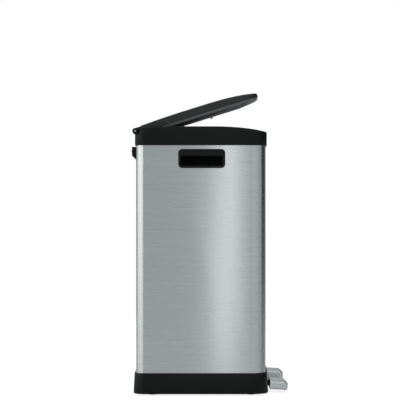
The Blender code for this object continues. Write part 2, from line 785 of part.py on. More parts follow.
def build():
    for old in list(bpy.data.objects):
        bpy.data.objects.remove(old, do_unlink=True)
    black = material("black plastic", (0.018, 0.019, 0.020), 0.45)
    steel = material("brushed steel", (0.42, 0.43, 0.43), 0.33, 1.0)
    grey = material("grey plastic", (0.11, 0.11, 0.115), 0.5)
    zinc = material("zinc plate", (0.50, 0.50, 0.48), 0.4, 1.0)
    bright = material("bright steel", (0.60, 0.60, 0.60), 0.2, 1.0)
    rubber = material("rubber", (0.020, 0.020, 0.020), 0.85)
    finishes = {
        "plastic": black,
        "steel": steel,
        "liner": grey,
        "metal": zinc,
        "bright": bright,
        "rubber": rubber,
    }
    make_base(black, rubber)
    make_steel_body(steel)
    make_inner_floor(grey)
    make_top_rim(black)
    make_grips(black, black)
    make_buckets(grey)
    make_rear_covers(black, bright)
    make_dampers(black, zinc)
    make_pivots(zinc, bright)
    for (name, side), opened in zip(sides(), (left_lid_at_rest, right_lid_at_rest)):
        share = opened / lid_travel
        middle = side * lid_centre
        lid_pivot = pivot(f"{name} lid axis", (middle, hinge_y, hinge_z))
        rod_pivot = pivot(f"{name} rod line", (middle, rod_y, 0))
        pedal_pivot = pivot(f"{name} pedal axis", (middle, pivot_y, pivot_z))
        make_lid(name, side, lid_pivot, finishes)
        make_hinge_pin(name, side, bright)
        make_rod(name, side, rod_pivot, finishes)
        make_pedal(name, side, pedal_pivot, finishes)
        lid_pivot.rotation_euler.x = -opened
        rod_pivot.location.z = rod_travel * share
        pedal_pivot.rotation_euler.x = lever_swing * (2 * share - 1)


build()
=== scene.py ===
import json
import math

import bmesh
import bpy
from mathutils import Matrix, Vector


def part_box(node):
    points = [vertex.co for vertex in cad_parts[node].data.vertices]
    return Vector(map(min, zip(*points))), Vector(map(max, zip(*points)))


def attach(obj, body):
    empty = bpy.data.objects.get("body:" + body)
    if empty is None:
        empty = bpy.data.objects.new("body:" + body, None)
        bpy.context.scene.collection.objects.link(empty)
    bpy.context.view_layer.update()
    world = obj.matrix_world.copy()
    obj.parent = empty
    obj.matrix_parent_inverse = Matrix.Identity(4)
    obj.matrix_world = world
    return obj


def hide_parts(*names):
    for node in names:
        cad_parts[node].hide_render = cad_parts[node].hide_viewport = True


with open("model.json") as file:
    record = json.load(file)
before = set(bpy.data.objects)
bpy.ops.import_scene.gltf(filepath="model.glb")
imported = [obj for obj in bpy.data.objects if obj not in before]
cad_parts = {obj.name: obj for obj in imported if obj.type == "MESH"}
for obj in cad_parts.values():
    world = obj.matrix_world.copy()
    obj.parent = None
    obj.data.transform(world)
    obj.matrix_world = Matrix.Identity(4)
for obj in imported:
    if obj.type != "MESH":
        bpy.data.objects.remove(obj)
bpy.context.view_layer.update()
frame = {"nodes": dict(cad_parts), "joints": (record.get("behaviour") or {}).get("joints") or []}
sideNames = {"left": -1, "right": 1}

steelLow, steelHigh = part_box("steel_body")
rimLow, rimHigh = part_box("top_rim")
baseLow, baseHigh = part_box("base")
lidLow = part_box("lid_frame_right")[0]  # this lid is shut at rest
linerLow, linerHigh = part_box("lid_liner_right")

body = {
    "halfX": steelHigh.x,
    "halfY": steelHigh.y,
    "frontRadius": 0.038,
    "backRadius": 0.022,
    "bow": 0.005,
    "cornerSegments": 14,
    "sheet": 0.0006,
}
hinge = {
    joint["child"]: Vector(joint["pos_m"]) for joint in frame["joints"] if joint["type"] == "hinge"
}
openAtRest = {  # radians each lid stands open in the rest pose
    side: -math.radians(joint["range_deg"][0])
    for side in sideNames
    for joint in frame["joints"]
    if joint["child"] == f"{side}_lid"
}


# ---- modelling helpers ----
def plate(low, high, z, frontRadius, backRadius, bow=0.0, segments=None):
    # one flat face with rounded corners; a bow pulls the front corners back
    bm = bmesh.new()
    bmesh.ops.create_grid(bm, x_segments=1, y_segments=1, size=1)
    for vert in bm.verts:
        vert.co = (low[0] if vert.co.x < 0 else high[0], low[1] if vert.co.y < 0 else high[1], z)
    segments = segments or body["cornerSegments"]
    middleY = (low[1] + high[1]) / 2
    for radius, front in ((frontRadius, True), (backRadius, False)):
        corners = [vert for vert in bm.verts if (vert.co.y < middleY) == front]
        bmesh.ops.bevel(
            bm, geom=corners, offset=radius, affect="VERTICES", segments=segments, profile=0.5,
            material=-1,
        )
    if bow:
        frontEdge = [e for e in bm.edges if all(abs(v.co.y - low[1]) < 1e-6 for v in e.verts)]
        bmesh.ops.subdivide_edges(bm, edges=frontEdge, cuts=12)
        for vert in bm.verts:
            if vert.co.y < middleY:
                vert.co.y += bow * (vert.co.x / rimHigh.x) ** 2
    return bm


def bodyPlate(grow, z):
    reach = (body["halfX"] + grow, body["halfY"] + grow)
    radii = (body["frontRadius"] + grow, body["backRadius"] + grow)
    return plate((-reach[0], -reach[1]), reach, z, *radii, body["bow"])


def stack(plates, closed=False):
    # grows one outline through equal outlines; the two ends are filled unless it closes on itself
    outlines = [[vert.co.copy() for vert in flat.verts] for flat in plates]
    bm = plates[0]
    for flat in plates[1:]:
        flat.free()
    bmesh.ops.delete(bm, geom=bm.faces[:], context="FACES_ONLY")
    edges = bm.edges[:]
    order = {vert: i for i, vert in enumerate(bm.verts)}
    bottom = edges
    for outline in outlines[1:] + (outlines[:1] if closed else []):
        grown = bmesh.ops.extrude_edge_only(bm, edges=edges)["geom"]
        raised = {}
        for vert in [item for item in grown if isinstance(item, bmesh.types.BMVert)]:
            for edge in vert.link_edges:
                if edge.other_vert(vert) in order:
                    raised[vert] = order[edge.other_vert(vert)]
        for vert, i in raised.items():
            vert.co = outline[i]
        lines = [item for item in grown if isinstance(item, bmesh.types.BMEdge)]
        edges = [edge for edge in lines if all(vert in raised for vert in edge.verts)]
        order = raised
    if closed:
        bmesh.ops.remove_doubles(bm, verts=bm.verts, dist=1e-6)
    else:
        for loop in (bottom, edges):
            bmesh.ops.contextual_create(bm, geom=loop)
    return outward(bm)


def outward(bm):
    bmesh.ops.recalc_face_normals(bm, faces=bm.faces)
    if bm.calc_volume(signed=True) < 0:
        bmesh.ops.reverse_faces(bm, faces=bm.faces)
    return bm


def prism(flat, height):
    grown = bmesh.ops.extrude_face_region(flat, geom=flat.faces[:])
    raised = [item for item in grown["geom"] if isinstance(item, bmesh.types.BMVert)]
    bmesh.ops.translate(flat, vec=(0, 0, height), verts=raised)
    return outward(flat)


def box(low, high):
    bm = bmesh.new()
    bmesh.ops.create_cube(bm, size=1)
    size = Vector(high) - Vector(low)
    bmesh.ops.scale(bm, vec=size, verts=bm.verts)
    bmesh.ops.translate(bm, vec=(Vector(low) + Vector(high)) / 2, verts=bm.verts)
    return bm


def crossBar(centre, radius, length, segments):
    # a round bar that runs from side to side, as the hinges do
    bm = bmesh.new()
    bmesh.ops.create_cone(
        bm, cap_ends=True, segments=segments, radius1=radius, radius2=radius, depth=length
    )
    turn = Matrix.Rotation(math.radians(90), 4, "Y")
    bmesh.ops.transform(bm, matrix=Matrix.Translation(centre) @ turn, verts=bm.verts)
    return bm


def cutAcross(bm, spot, facing, drop=False):
    # one flat cut through everything; drop takes away what lies on the facing side
    geom = bm.verts[:] + bm.edges[:] + bm.faces[:]
    bmesh.ops.bisect_plane(
        bm, geom=geom, dist=1e-6, plane_co=spot, plane_no=facing, clear_outer=drop
    )


def asObject(bm, name):
    mesh = bpy.data.meshes.new(name)
    bm.to_mesh(mesh)
    bm.free()
    made = bpy.data.objects.new(name, mesh)
    bpy.context.scene.collection.objects.link(made)
    return made


def carve(target, *tools, operation="DIFFERENCE"):
    # Boolean on plain meshes: the helper objects are gone again afterwards
    holder = asObject(target, "carved")
    helpers = [asObject(tool, "tool") for tool in tools]
    for helper in helpers:
        change = holder.modifiers.new("cut", "BOOLEAN")
        change.operation = operation
        change.solver = "EXACT"
        change.object = helper
    bpy.context.view_layer.update()
    evaluated = holder.evaluated_get(bpy.context.evaluated_depsgraph_get())
    result = bmesh.new()
    result.from_mesh(evaluated.to_mesh())
    evaluated.to_mesh_clear()
    for item in (holder, *helpers):
        mesh = item.data
        bpy.data.objects.remove(item)
        bpy.data.meshes.remove(mesh)
    bmesh.ops.remove_doubles(result, verts=result.verts, dist=2e-6)
    return result


def weld(target, *tools):
    return carve(target, *tools, operation="UNION")


def sharpEdges(bm, test=None, degrees=32):
    found = []
    for edge in bm.edges:
        if len(edge.link_faces) != 2 or edge.calc_face_angle() < math.radians(degrees):
            continue
        if test is None or all(test(vert.co) for vert in edge.verts):
            found.append(edge)
    return found


def roundOver(bm, width, segments=3, test=None, degrees=32):
    edges = sharpEdges(bm, test, degrees)
    if edges:
        bmesh.ops.bevel(
            bm, geom=edges, offset=width, affect="EDGES", segments=segments, profile=0.5,
            material=-1, clamp_overlap=True,
        )
    return bm


def addRows(bm, spacing=0.012):
    # extra cross cuts along the depth, so that the top can be crowned
    count = int(2 * rimHigh.y / spacing)
    for i in range(1, count):
        cutAcross(bm, (0, -rimHigh.y + 2 * rimHigh.y * i / count, 0), (0, 1, 0))
    return bm


crown = {
    "start": lidLow.z,
    "top": rimHigh.z,
    "frontFrom": -0.020,  # the top is level between frontFrom and backFrom, and falls away beyond
    "frontReach": 0.139,
    "frontDrop": 0.013,
    "backFrom": 0.030,
    "backReach": 0.112,
    "backDrop": 0.0025,
}


def crownDrop(y):
    front = max(0.0, (crown["frontFrom"] - y) / crown["frontReach"])
    back = max(0.0, (y - crown["backFrom"]) / crown["backReach"])
    return crown["frontDrop"] * front**2.4 + crown["backDrop"] * back**2


def bendToCrown(bm):
    for vert in bm.verts:
        share = (vert.co.z - crown["start"]) / (crown["top"] - crown["start"])
        vert.co.z -= crownDrop(vert.co.y) * min(max(share, 0.0), 1.1)
    return bm


def finishPiece(name, bm, finish, bodyName, node, smooth=38):
    made = asObject(bm, name)
    made.data.shade_smooth()
    made.data.set_sharp_from_angle(angle=math.radians(smooth))
    made.data.materials.append(finish)
    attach(made, bodyName)
    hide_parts(node)


def refine(node, finish, bodyName, width=0.0004, segments=2):
    # a CAD solid with its edges broken and a finish of its own
    bm = bmesh.new()
    bm.from_mesh(frame["nodes"][node].data)
    bmesh.ops.remove_doubles(bm, verts=bm.verts, dist=1e-5)
    bmesh.ops.dissolve_limit(
        bm, angle_limit=math.radians(1), verts=bm.verts, edges=bm.edges, use_dissolve_boundaries=False
    )
    roundOver(bm, width, segments)
    finishPiece(f"{node}_fine", bm, finish, bodyName, node)


# ---- finishes ----
def startFinish(name):
    made = bpy.data.materials.new(name)
    made.use_nodes = True
    nodes, links = made.node_tree.nodes, made.node_tree.links
    shader = nodes["Principled BSDF"]
    place = nodes.new("ShaderNodeTexCoord")
    return made, nodes, links, shader, place.outputs["Object"]


def noiseOn(nodes, links, place, scale, detail=3.0, roughness=0.55):
    mapping = nodes.new("ShaderNodeMapping")
    mapping.inputs["Scale"].default_value = scale
    links.new(place, mapping.inputs["Vector"])
    noise = nodes.new("ShaderNodeTexNoise")
    noise.inputs["Scale"].default_value = 1.0
    noise.inputs["Detail"].default_value = detail
    noise.inputs["Roughness"].default_value = roughness
    links.new(mapping.outputs["Vector"], noise.inputs["Vector"])
    return noise.outputs["Fac"]


def ramp(nodes, links, source, low, high, start=0.3, end=0.7):
    made = nodes.new("ShaderNodeValToRGB")
    made.color_ramp.elements[0].position = start
    made.color_ramp.elements[1].position = end
    for element, colour in zip(made.color_ramp.elements, (low, high)):
        element.color = (*colour, 1) if len(colour) == 3 else colour
    links.new(source, made.inputs["Fac"])
    return made.outputs["Color"]


def spread(nodes, links, source, low, high):
    made = nodes.new("ShaderNodeMapRange")
    made.inputs["From Min"].default_value = 0.3
    made.inputs["From Max"].default_value = 0.7
    made.inputs["To Min"].default_value = low
    made.inputs["To Max"].default_value = high
    links.new(source, made.inputs["Value"])
    return made.outputs["Result"]


def addBump(nodes, links, shader, height, distance):
    bump = nodes.new("ShaderNodeBump")
    bump.inputs["Distance"].default_value = distance
    links.new(height, bump.inputs["Height"])
    links.new(bump.outputs["Normal"], shader.inputs["Normal"])


def plasticFinish(name, dark, light, rough, grain=1400, depth=0.00003, gloss=0.5):
    made, nodes, links, shader, place = startFinish(name)
    cloud = noiseOn(nodes, links, place, (18, 18, 18))
    fine = noiseOn(nodes, links, place, (grain, grain, grain), 2.0)
    links.new(ramp(nodes, links, cloud, dark, light), shader.inputs["Base Color"])
    links.new(spread(nodes, links, cloud, rough - 0.04, rough + 0.05), shader.inputs["Roughness"])
    shader.inputs["Specular IOR Level"].default_value = gloss
    addBump(nodes, links, shader, fine, depth)
    return made


def steelFinish(name, dark, light, rough, along="level", pitch=1500, depth=0.000004):
    # along is the way the brushing runs: level round the body, or across from side to side
    made, nodes, links, shader, place = startFinish(name)
    across = {"level": (5, 5, pitch), "across": (7, pitch, pitch)}[along]
    broad = tuple(share * 0.18 if share > 100 else share * 0.6 for share in across)
    streak = noiseOn(nodes, links, place, across, 4.0, 0.65)
    band = noiseOn(nodes, links, place, broad, 3.0)
    mixed = nodes.new("ShaderNodeMix")
    mixed.inputs["Factor"].default_value = 0.4
    links.new(streak, mixed.inputs["A"])
    links.new(band, mixed.inputs["B"])
    both = mixed.outputs["Result"]
    shader.inputs["Metallic"].default_value = 1.0
    shader.inputs["Anisotropic"].default_value = 0.8
    shader.inputs["Anisotropic Rotation"].default_value = 0.25
    links.new(ramp(nodes, links, both, dark, light, 0.34, 0.66), shader.inputs["Base Color"])
    links.new(spread(nodes, links, both, rough - 0.03, rough + 0.04), shader.inputs["Roughness"])
    if along == "level":
        tangent = nodes.new("ShaderNodeTangent")
        tangent.direction_type = "RADIAL"
        tangent.axis = "Z"
    else:
        # a direction fixed to the piece, which turns with the lid or the pedal
        tangent = nodes.new("ShaderNodeVectorTransform")
        tangent.vector_type = "VECTOR"
        tangent.convert_from = "OBJECT"
        tangent.convert_to = "WORLD"
        tangent.inputs[0].default_value = (0, 1, 0)
    links.new(tangent.outputs[0], shader.inputs["Tangent"])
    addBump(nodes, links, shader, streak, depth)
    return made


def zincFinish(name):
    made, nodes, links, shader, place = startFinish(name)
    spangle = nodes.new("ShaderNodeTexVoronoi")
    spangle.inputs["Scale"].default_value = 260
    links.new(place, spangle.inputs["Vector"])
    patch = spangle.outputs["Distance"]
    tone = ramp(nodes, links, patch, (0.40, 0.41, 0.40), (0.58, 0.59, 0.57), 0.1, 0.8)
    links.new(tone, shader.inputs["Base Color"])
    shader.inputs["Metallic"].default_value = 0.9
    cloud = noiseOn(nodes, links, place, (90, 90, 90))
    links.new(spread(nodes, links, cloud, 0.32, 0.48), shader.inputs["Roughness"])
    addBump(nodes, links, shader, cloud, 0.00002)
    return made


# each finish has its darker and its lighter tone, then how rough it is
finishTones = {
    "blackPlastic": ((0.0045, 0.005, 0.005), (0.0065, 0.007, 0.007), 0.40),
    "lidPlastic": ((0.012, 0.0135, 0.0135), (0.018, 0.020, 0.020), 0.36),
    "gripPlastic": ((0.004, 0.0045, 0.0045), (0.006, 0.0065, 0.0065), 0.36),
    "pocketPlastic": ((0.0008, 0.0008, 0.0008), (0.0012, 0.0012, 0.0012), 0.6),
    "linerPlastic": ((0.120, 0.130, 0.130), (0.150, 0.160, 0.160), 0.42),
    "bucketPlastic": ((0.055, 0.056, 0.058), (0.070, 0.071, 0.073), 0.46),
    "rubber": ((0.010, 0.010, 0.010), (0.016, 0.016, 0.016), 0.8),
    "steel": ((0.60, 0.615, 0.61), (0.66, 0.675, 0.67), 0.28),
    # the lid panel's steel is toned darker than the body's steel: painted shade on the lid top, to hold
    # back the overhead lamp
    "lidSteelPaintedShade": ((0.40, 0.41, 0.405), (0.46, 0.47, 0.465), 0.34),
    "pedalSteel": ((0.70, 0.72, 0.72), (0.80, 0.82, 0.82), 0.26),
    "brightSteel": ((0.60, 0.60, 0.60), (0.70, 0.70, 0.70), 0.18),
}
plastics = {
    "blackPlastic": {"gloss": 0.16},
    "lidPlastic": {"gloss": 0.4},
    "gripPlastic": {"gloss": 0.16, "grain": 2200},
    "pocketPlastic": {"gloss": 0.05},
    "linerPlastic": {},
    "bucketPlastic": {},
    "rubber": {"grain": 900, "depth": 0.00006},
}
steels = {
    "steel": {"depth": 0.0000015},
    "lidSteelPaintedShade": {"along": "across", "depth": 0.000002},
    "pedalSteel": {"along": "across"},
    "brightSteel": {"along": "across", "pitch": 800},
}
finish = {name: plasticFinish(name, *finishTones[name], **extra) for name, extra in plastics.items()}
finish |= {name: steelFinish(name, *finishTones[name], **extra) for name, extra in steels.items()}
finish["zinc"] = zincFinish("zinc")
print("stage: finishes made")

# ---- steel wrap ----
grip = {
    "length": 0.1156,
    "height": 0.0467,
    "z": sum(corner.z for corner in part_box("grip_bezel_left")) / 2,
    "radius": 0.010,
    "proud": 0.0018,
    "windowInset": 0.0035,
    "depth": 0.022,
    "wall": 0.0062,
    "lipShare": 0.36,  # of the height, taken by the finger lip above the mouth
}


def toSide(side, bm):
    # from a flat drawing, u to the right and v up, onto the left or right wall
    u = Vector((0, side, 0))
    v = Vector((0, 0, 1))
    w = Vector((side, 0, 0))
    turn = Matrix((u, v, w)).transposed().to_4x4()
    turn.translation = Vector((side * body["halfX"], 0, grip["z"]))
    bmesh.ops.transform(bm, matrix=turn, verts=bm.verts)
    return outward(bm)


def gripPlate(inset, w, lowV=None, highV=None):
    halfL, halfH = grip["length"] / 2 - inset, grip["height"] / 2 - inset
    low = (-halfL, -halfH if lowV is None else lowV)
    high = (halfL, halfH if highV is None else highV)
    radius = max(grip["radius"] - inset, 0.002)
    return plate(low, high, w, radius, radius, segments=8)


pedalOpening = {"halfWidth": 0.033, "below": 0.0135, "above": 0.0085}  # from the pedal's axis


def pedalSlot(name):
    axis = hinge[f"{name}_pedal"]
    half = pedalOpening["halfWidth"]
    low = (axis.x - half, steelLow.y - 0.02, axis.z - pedalOpening["below"])
    return box(low, (axis.x + half, steelLow.y + 0.010, axis.z + pedalOpening["above"]))


def makeSteelBody():
    sheet = body["sheet"]
    rows = [(0.0, steelLow.z), (0.0, steelHigh.z), (-sheet, steelHigh.z), (-sheet, steelLow.z)]
    shell = stack([bodyPlate(grow, z) for grow, z in rows], closed=True)
    tools = []
    for name, side in sideNames.items():
        tools.append(toSide(side, prism(gripPlate(grip["windowInset"], -0.01), 0.02)))
        tools.append(pedalSlot(name))
    shell = carve(shell, *tools)
    finishPiece("steelWrap", shell, finish["steel"], "body", "steel_body", 30)


makeSteelBody()
print("stage: steel wrap made")

# ---- base ----
base = {
    "low": baseLow.z,
    "high": baseHigh.z,
    "flare": baseHigh.x - steelHigh.x,
    "wall": 0.0025,
    "floor": 0.003,
    "lip": 0.0038,  # how far the top edge stands out past the steel
    "gap": 0.0005,
    "overlap": 0.028,  # how far the steel reaches down inside the base
}


def makeBase():
    flare, low, high, lip = base["flare"], base["low"], base["high"], base["lip"]
    step = high - base["overlap"]
    rows = [(flare - 0.0045, low), (flare - 0.0022, low + 0.0003), (flare - 0.0008, low + 0.0013)]
    rows += [(flare, low + 0.0035), (lip + 0.0003, high - 0.0022), (lip - 0.0001, high - 0.0009)]
    rows += [(lip - 0.0009, high - 0.0002), (lip - 0.0016, high), (base["gap"], high)]
    rows += [(base["gap"], step), (-base["wall"], step), (-base["wall"], low + base["floor"])]
    tray = stack([bodyPlate(grow, z) for grow, z in rows])
    tray = carve(tray, *[pedalSlot(name) for name in sideNames])
    finishPiece("baseTray", tray, finish["blackPlastic"], "body", "base", 50)


makeBase()
for node in ("foot_front_left", "foot_front_right", "foot_back_left", "foot_back_right", "foot_centre"):
    refine(node, finish["rubber"], "body", 0.0003)
print("stage: base made")

# ---- rim ----
rim = {
    "proud": rimHigh.x - steelHigh.x,
    "wall": 0.0025,
    "deck": 0.003,
    "low": rimLow.z,
    "side": 0.011,
    "front": 0.0085,
    "back": 0.0142,
    "divider": 0.020,
    "ledge": 0.012,
    "ledgeTop": rimHigh.z - 0.029,
    "collarLow": rimHigh.z - 0.038,
    "notchFloor": hinge["left_lid"].z - 0.008,
    "edge": 0.0022,
}
openingBack = body["halfY"] + rim["proud"] - rim["back"]
knuckle = {"radius": 0.0072, "bore": 0.0023, "boreLength": 0.29, "ear": 0.007, "corner": 0.0006}
rodSlot = {"half": 0.009, "front": 0.024, "back": 0.003}  # front and back from the lid's axis


def openingPlate(side, grow, z, frontRadius=0.036, backRadius=0.006):
    inner = rim["divider"] / 2 - grow
    outer = body["halfX"] + rim["proud"] - rim["side"] + grow
    edges = sorted((side * inner, side * outer))
    front = -body["halfY"] - rim["proud"] + rim["front"] - grow
    radii = (frontRadius + grow, max(backRadius + grow, 0.002))
    return plate((edges[0], front), (edges[1], openingBack + grow), z, *radii, body["bow"], 10)


def earRanges(side):
    inner = rim["divider"] / 2 + 0.0008
    outer = body["halfX"] + rim["proud"] - rim["side"] - 0.0005
    spans = ((inner, inner + knuckle["ear"]), (outer - knuckle["ear"], outer))
    return [tuple(sorted((side * a, side * b))) for a, b in spans]


def hingeBore(name):
    return crossBar(hinge[f"{name}_lid"], knuckle["bore"], knuckle["boreLength"], 24)


def makeRim():
    top = crown["top"]
    block = prism(bodyPlate(rim["proud"], rim["low"]), top - rim["low"])
    roundOver(block, rim["edge"], 5, lambda co: co.z > top - 0.001)
    roundOver(block, 0.0006, 2, lambda co: co.z < rim["low"] + 0.0005)
    wide, back = rimHigh.x + 0.01, rimHigh.y + 0.02
    inside = bodyPlate(rim["proud"] - rim["wall"], rim["low"] - 0.01)
    hollow = prism(inside, top - rim["deck"] - rim["low"] + 0.01)
    underNotch = (-wide, openingBack - 0.0005, rim["notchFloor"] - rim["deck"])
    notch = box(underNotch, (wide, back, top + 0.01))
    collars = [prism(openingPlate(s, rim["wall"], rim["collarLow"]), 0.06) for s in sideNames.values()]
    hollow = carve(hollow, notch, *collars)
    tools = [hollow, box((-wide, openingBack + rim["wall"], rim["notchFloor"]), (wide, back, top + 0.02))]
    for name, side in sideNames.items():
        tools.append(prism(openingPlate(side, 0.0, rim["ledgeTop"]), 0.06))
        tools.append(prism(openingPlate(side, -rim["ledge"], rim["low"]), 0.02))
        ears = earRanges(side)
        low, high = min(ears[0][0], ears[1][0]), max(ears[0][1], ears[1][1])
        tools.append(box((low, openingBack - 0.002, rim["notchFloor"]), (high, back, top + 0.02)))
        axis = hinge[f"{name}_lid"]
        slotLow = (axis.x - rodSlot["half"], axis.y - rodSlot["front"], rim["low"])
        tools.append(box(slotLow, (axis.x + rodSlot["half"], axis.y - rodSlot["back"], top)))
    shell = carve(block, *tools)
    roundOver(shell, 0.0007, 2, lambda co: co.z > rim["low"] + 0.001)
    shell = bendToCrown(addRows(shell))
    ears = []
    for name, side in sideNames.items():
        axis = hinge[f"{name}_lid"]
        for x0, x1 in earRanges(side):
            ear = crossBar(((x0 + x1) / 2, axis.y, axis.z), knuckle["radius"], x1 - x0, 40)
            roundOver(ear, knuckle["corner"], 2)
            footLow = (x0 + 0.0003, axis.y - 0.006, rim["notchFloor"] - 0.0015)
            foot = box(footLow, (x1 - 0.0003, axis.y - 0.0005, axis.z))
            ears += [ear, foot]
    shell = weld(shell, *ears)
    shell = carve(shell, *[hingeBore(name) for name in sideNames])
    finishPiece("topRim", shell, finish["blackPlastic"], "body", "top_rim", 34)


makeRim()
print("stage: rim made")


# ---- lids ----
lid = {
    "clearance": 0.0018,
    "wall": 0.0025,
    "deck": 0.003,
    "panelMargin": 0.012,
    "panelThickness": 0.0007,
    "edge": 0.0028,
    "gap": 0.0003,
    "rodGapHeight": 0.0062,
}


def lidPlate(side, inset, z):
    return openingPlate(side, -lid["clearance"] - inset, z)


def standOpen(bm, name):
    axis = hinge[f"{name}_lid"]
    turn = Matrix.Rotation(-openAtRest[name], 4, "X")
    matrix = Matrix.Translation(axis) @ turn @ Matrix.Translation(-axis)
    bmesh.ops.transform(bm, matrix=matrix, verts=bm.verts)
    return bm


def makeLid(name, side):
    bodyName = f"{name}_lid"
    axis = hinge[bodyName]
    skirt, top = crown["start"], crown["top"]
    back = openingBack - lid["clearance"]
    shell = prism(lidPlate(side, 0.0, skirt), top - skirt)
    roundOver(shell, lid["edge"], 5, lambda co: co.z > top - 0.001)
    hollow = prism(lidPlate(side, lid["wall"], skirt - 0.01), top - lid["deck"] - skirt + 0.01)
    recess = lidPlate(side, lid["panelMargin"], top - lid["panelThickness"] - lid["gap"])
    gapLow, gapHigh = axis.x - rodSlot["half"], axis.x + rodSlot["half"]
    rodGapTop = (gapHigh, back + 0.002, skirt + lid["rodGapHeight"])
    rodGap = box((gapLow, back - 0.006, skirt - 0.005), rodGapTop)
    shell = carve(shell, hollow, prism(recess, 0.01), rodGap)
    roundOver(shell, 0.0004, 2)
    shell = bendToCrown(addRows(shell))
    ears = earRanges(side)
    x0 = min(ears[0][1], ears[1][1]) + 0.0005
    x1 = max(ears[0][0], ears[1][0]) - 0.0005
    leafs = []
    for low, high in ((x0, gapLow), (gapHigh, x1)):
        leafTop = axis.z + knuckle["radius"] - 0.0002
        leaf = box((low, back - 0.002, axis.z + 0.0015), (high, axis.y, leafTop))
        tube = crossBar(((low + high) / 2, axis.y, axis.z), knuckle["radius"], high - low, 40)
        roundOver(tube, knuckle["corner"], 2)
        leafs += [leaf, tube]
    shell = carve(weld(shell, *leafs), hingeBore(name))
    finishPiece(f"lidShell_{name}", standOpen(shell, name), finish["lidPlastic"], bodyName,
                f"lid_frame_{name}", 34)

    thickness = lid["panelThickness"]
    panel = prism(lidPlate(side, lid["panelMargin"] + lid["gap"], top - thickness), thickness)
    roundOver(panel, 0.00025, 2, lambda co: co.z > top - 0.0003)
    panel = bendToCrown(addRows(panel))
    finishPiece(f"lidPanel_{name}", standOpen(panel, name), finish["lidSteelPaintedShade"], bodyName,
                f"lid_panel_{name}", 30)
    makeLiner(name, side, bodyName, back)


liner = {
    "step": 0.0030,  # height of the lower, narrower part
    "tipLength": 0.056,
    "tipStart": 0.058,  # from the steel's front, where the underside starts to rise
    "tipRise": 0.86,
    "rear": 0.0085,
}


def makeLiner(name, side, bodyName, back):
    low, high = linerLow.z, linerHigh.z
    step = low + liner["step"]
    rows = [(0.0020, high), (0.0020, step + 0.0004), (0.0024, step), (0.0052, step)]
    rows += [(0.0056, step - 0.0003), (0.0056, low + 0.0006), (0.0062, low)]
    slab = stack([lidPlate(side, inset, z) for inset, z in rows])
    slab = carve(slab, box((-0.4, back - liner["rear"], low - 0.01), (0.4, 0.3, high + 0.01)))
    # the front underside rises towards the lid's tip
    front = -body["halfY"] + liner["tipStart"]
    for i in range(6):
        cutAcross(slab, (0, front - i * 0.010, 0), (0, 1, 0))
    for vert in slab.verts:
        share = min(max((front - vert.co.y) / liner["tipLength"], 0.0), 1.0)
        vert.co.z += (high - vert.co.z) * share * liner["tipRise"]
    slab = standOpen(outward(slab), name)
    finishPiece(f"lidUnderside_{name}", slab, finish["linerPlastic"], bodyName,
                f"lid_liner_{name}", 34)


for name, side in sideNames.items():
    makeLid(name, side)
    for place in ("inner", "outer"):
        refine(f"lid_buffer_{name}_{place}", finish["rubber"], f"{name}_lid", 0.0003)
    refine(f"lid_crank_{name}", finish["zinc"], f"{name}_lid", 0.0003)
    refine(f"hinge_pin_{name}", finish["brightSteel"], "body", 0.0003)
print("stage: lids made")


# ---- side grips ----
def makeGrip(name, side):
    proud, depth, wall = grip["proud"], grip["depth"], grip["wall"]
    lowV = -grip["height"] / 2 + wall
    highV = grip["height"] / 2 - grip["height"] * grip["lipShare"]
    bezel = prism(gripPlate(0.0, 0.0003), proud - 0.0003)
    bezel = weld(bezel, prism(gripPlate(0.0039, -0.0100), 0.0104))
    mouth = prism(gripPlate(wall, -0.02, lowV, highV), 0.04)
    dish = prism(gripPlate(0.0034, proud - 0.0006), 0.01)
    bezel = roundOver(carve(bezel, mouth, dish), 0.0007)
    finishPiece(f"gripBezel_{name}", toSide(side, bezel), finish["gripPlastic"], "body",
                f"grip_bezel_{name}", 40)
    cup = prism(gripPlate(0.0042, -depth), depth - 0.0103)
    room = prism(gripPlate(wall, -depth + 0.0015), depth)
    cup = roundOver(carve(cup, room), 0.0006, 2)
    finishPiece(f"gripPocket_{name}", toSide(side, cup), finish["pocketPlastic"], "body",
                f"grip_cup_{name}", 40)


for name, side in sideNames.items():
    makeGrip(name, side)
print("stage: grips made")

# ---- pedals ----
pedal = {
    "width": 0.130,
    "depth": 0.046,
    "toe": -body["halfY"] - 0.0555,
    "bottom": -0.0125,
    "sideHeight": 0.0165,
    "height": 0.0195,
    "noseLength": 0.011,
    "noseDrop": 0.010,
    "bow": 0.003,
    "pitch": math.radians(5),
    "skin": 0.0008,
    "gap": 0.0003,
    "coreBelow": 0.0015,  # how far the plastic shows under the cap
    "neckHalf": 0.028,
    "neckLow": -0.0095,
    "neckHigh": 0.0035,
    "neckReach": 0.022,
    "grooveHalf": 0.0023,
    "grooveTop": 0.0048,
    "leverDepth": 0.0146,
}


